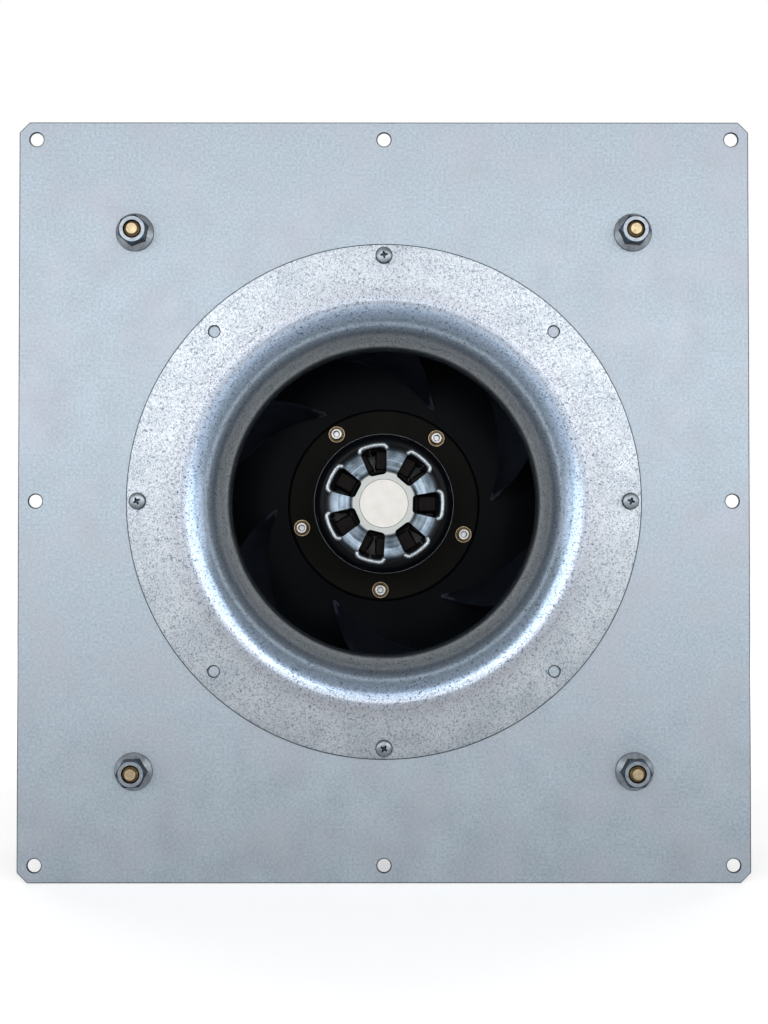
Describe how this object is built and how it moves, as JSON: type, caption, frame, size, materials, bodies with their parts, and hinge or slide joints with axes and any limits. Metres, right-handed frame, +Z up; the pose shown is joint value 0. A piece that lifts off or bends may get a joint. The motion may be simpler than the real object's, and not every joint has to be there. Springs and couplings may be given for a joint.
{
  "type": "centrifugal fan",
  "caption": "Backward-curved centrifugal plug fan on a flat galvanised mounting plate, with a spun inlet nozzle, an external-rotor motor on an X bracket and spacer posts.",
  "frame": {"origin": "centre of the mounting plate's front face, on the fan's axis", "axes": "+Z up along the plate, +X to the right seen from the inlet, +Y into the fan along its axis: air enters from -Y"},
  "size_m": [0.5, 0.2203, 0.52],
  "materials": {
    "galvanised_sheet": "galvanised, fine grey-blue mottling",
    "nozzle_zinc": "spun zinc-coated sheet, spangled flange and burnished bell",
    "zinc_hardware": "blue-white zinc plate",
    "yellow_zinc": "yellow zinc plate",
    "impeller_plastic": "black moulded plastic",
    "rotor_steel": "drawn zinc-coated steel",
    "bearing_steel": "ground",
    "spring_steel": "oiled",
    "cast_aluminium": "die-cast",
    "core_steel": "stacked laminations",
    "insulator_plastic": "moulded",
    "enamelled_copper": "enamelled wire",
    "magnet_ferrite": "bonded magnet",
    "cage_brass": "machined",
    "black_nylon": "moulded",
    "seal_rubber": "moulded",
    "board_laminate": "glass-epoxy laminate",
    "capacitor_sleeve": "shrink sleeve",
    "label_film": "blank film label"
  },
  "bodies": {
    "fan_frame": {"mounting_plate": "galvanised_sheet", "inlet_nozzle": "nozzle_zinc", "nozzle_screws": "zinc_hardware", "clinch_nuts": "zinc_hardware", "spacer_posts": "yellow_zinc", "front_flange_nuts": "zinc_hardware", "rear_flange_nuts": "zinc_hardware", "motor_bracket": "galvanised_sheet", "bracket_screws": "zinc_hardware", "bracket_washers": "zinc_hardware", "front_bearing_outer_ring": "bearing_steel", "rear_bearing_outer_ring": "bearing_steel", "preload_washer": "spring_steel", "stator_flange": "cast_aluminium", "stator_core": "core_steel", "front_slot_insulator": "insulator_plastic", "rear_slot_insulator": "insulator_plastic", "stator_coils": "enamelled_copper", "winding_pins": "enamelled_copper", "electronics_pot": "cast_aluminium", "pot_screws": "zinc_hardware", "power_module": "black_nylon", "circuit_board": "board_laminate", "board_screws": "zinc_hardware", "capacitors": "capacitor_sleeve", "line_choke": "enamelled_copper", "terminal_blocks": "insulator_plastic", "cover_gasket": "seal_rubber", "electronics_cover": "black_nylon", "cover_screws": "zinc_hardware", "gland_bodies": "black_nylon", "gland_seals": "seal_rubber", "gland_cap_nuts": "black_nylon", "earth_screw": "yellow_zinc"},
    "rotor": {"impeller_shroud": "impeller_plastic", "impeller_blades": "impeller_plastic", "impeller_hub": "impeller_plastic", "impeller_washers": "yellow_zinc", "impeller_screws": "zinc_hardware", "rotor_cup": "rotor_steel", "rotor_label": "label_film", "rotor_bush": "cast_aluminium", "magnet_ring": "magnet_ferrite", "shaft": "bearing_steel", "retaining_ring": "spring_steel", "front_bearing_inner_ring": "bearing_steel", "rear_bearing_inner_ring": "bearing_steel"},
    "front_ball_set": {"front_bearing_balls": "bearing_steel", "front_bearing_cage": "cage_brass"},
    "rear_ball_set": {"rear_bearing_balls": "bearing_steel", "rear_bearing_cage": "cage_brass"}
  },
  "joints": [
    {"name": "impeller_spin", "type": "hinge", "parent": "fan_frame", "child": "rotor", "pos_m": [0, 0.1, 0], "axis": [0, 1, 0], "continuous": true},
    {"name": "front_bearing_roll", "type": "hinge", "parent": "fan_frame", "child": "front_ball_set", "pos_m": [0, 0.082, 0], "axis": [0, 1, 0], "continuous": true},
    {"name": "rear_bearing_roll", "type": "hinge", "parent": "fan_frame", "child": "rear_ball_set", "pos_m": [0, 0.142, 0], "axis": [0, 1, 0], "continuous": true}
  ],
  "couplings": [
    {"joint": "front_bearing_roll", "follows": "impeller_spin", "ratio": 0.381},
    {"joint": "rear_bearing_roll", "follows": "impeller_spin", "ratio": 0.381}
  ]
}
